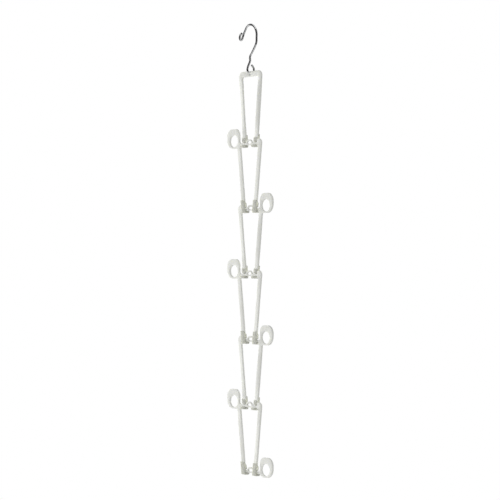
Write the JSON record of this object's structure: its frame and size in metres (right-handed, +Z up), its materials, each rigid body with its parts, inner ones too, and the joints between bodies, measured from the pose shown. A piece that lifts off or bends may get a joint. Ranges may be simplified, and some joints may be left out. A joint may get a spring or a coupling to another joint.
{
  "type": "multi-hook hanger",
  "caption": "Hanging chain of flat white links with rings at alternate sides for clothes hangers, under a chrome wire hook for a closet rod.",
  "frame": {"origin": "inside top of the wire hook, where it rests on a closet rod", "axes": "+Z up, X along the bars of the links, +Y to the back"},
  "size_m": [0.124, 0.0158, 0.7241],
  "materials": {
    "hook_chrome": "polished",
    "link_white": "satin",
    "tip_grey": "matt"
  },
  "bodies": {
    "hook": {"wire_hook": "hook_chrome"},
    "link_1": {"link_1_frame": "link_white", "link_1_left_tip": "tip_grey", "link_1_right_tip": "tip_grey"},
    "link_2": {"link_2_frame": "link_white", "link_2_left_tip": "tip_grey", "link_2_right_tip": "tip_grey"},
    "link_3": {"link_3_frame": "link_white", "link_3_left_tip": "tip_grey", "link_3_right_tip": "tip_grey"},
    "link_4": {"link_4_frame": "link_white", "link_4_left_tip": "tip_grey", "link_4_right_tip": "tip_grey"},
    "link_5": {"link_5_frame": "link_white", "link_5_left_tip": "tip_grey", "link_5_right_tip": "tip_grey"},
    "link_6": {"link_6_frame": "link_white", "link_6_left_tip": "tip_grey", "link_6_right_tip": "tip_grey"},
    "end": {"end_ring": "link_white"}
  },
  "joints": [
    {"name": "link_1_swing", "type": "hinge", "parent": "hook", "child": "link_1", "pos_m": [0, 0, -0.0704], "axis": [1, 0, 0], "range_deg": [-45, 45]},
    {"name": "link_2_swing", "type": "hinge", "parent": "link_1", "child": "link_2", "pos_m": [0, -0.0021, -0.1897], "axis": [1, 0, 0], "range_deg": [-45, 45]},
    {"name": "link_3_swing", "type": "hinge", "parent": "link_2", "child": "link_3", "pos_m": [0, 0, -0.2947], "axis": [1, 0, 0], "range_deg": [-45, 45]},
    {"name": "link_4_swing", "type": "hinge", "parent": "link_3", "child": "link_4", "pos_m": [0, -0.0021, -0.3997], "axis": [1, 0, 0], "range_deg": [-45, 45]},
    {"name": "link_5_swing", "type": "hinge", "parent": "link_4", "child": "link_5", "pos_m": [0, 0, -0.5047], "axis": [1, 0, 0], "range_deg": [-45, 45]},
    {"name": "link_6_swing", "type": "hinge", "parent": "link_5", "child": "link_6", "pos_m": [0, -0.0021, -0.6097], "axis": [1, 0, 0], "range_deg": [-45, 45]},
    {"name": "end_swing", "type": "hinge", "parent": "link_6", "child": "end", "pos_m": [0, 0, -0.7147], "axis": [1, 0, 0], "range_deg": [-45, 45]}
  ]
}
